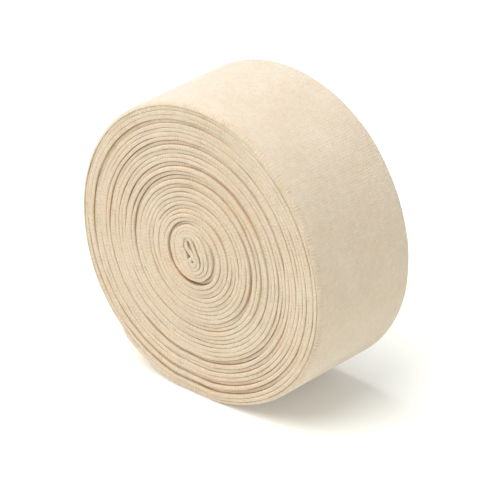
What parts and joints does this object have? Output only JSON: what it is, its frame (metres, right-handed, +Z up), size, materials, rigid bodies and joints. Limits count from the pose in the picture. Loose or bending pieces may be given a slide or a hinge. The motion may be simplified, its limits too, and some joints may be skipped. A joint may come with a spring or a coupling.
{
  "type": "tubular stockinette roll",
  "caption": "Roll of natural cotton tubular stockinette, a knitted tube laid flat and wound without a core, standing on its side.",
  "frame": {"origin": "bottom centre of the roll's box, on the flat spot that the roll rests on", "axes": "+Z up, Y along the roll's axis, with the end whose heart stands proud towards -Y, +X across the roll"},
  "size_m": [0.1753, 0.0831, 0.1765],
  "materials": {
    "cotton_knit": "unbleached cotton in a fine circular knit, soft and matt"
  },
  "bodies": {
    "root": {"roll": "cotton_knit"}
  },
  "joints": []
}
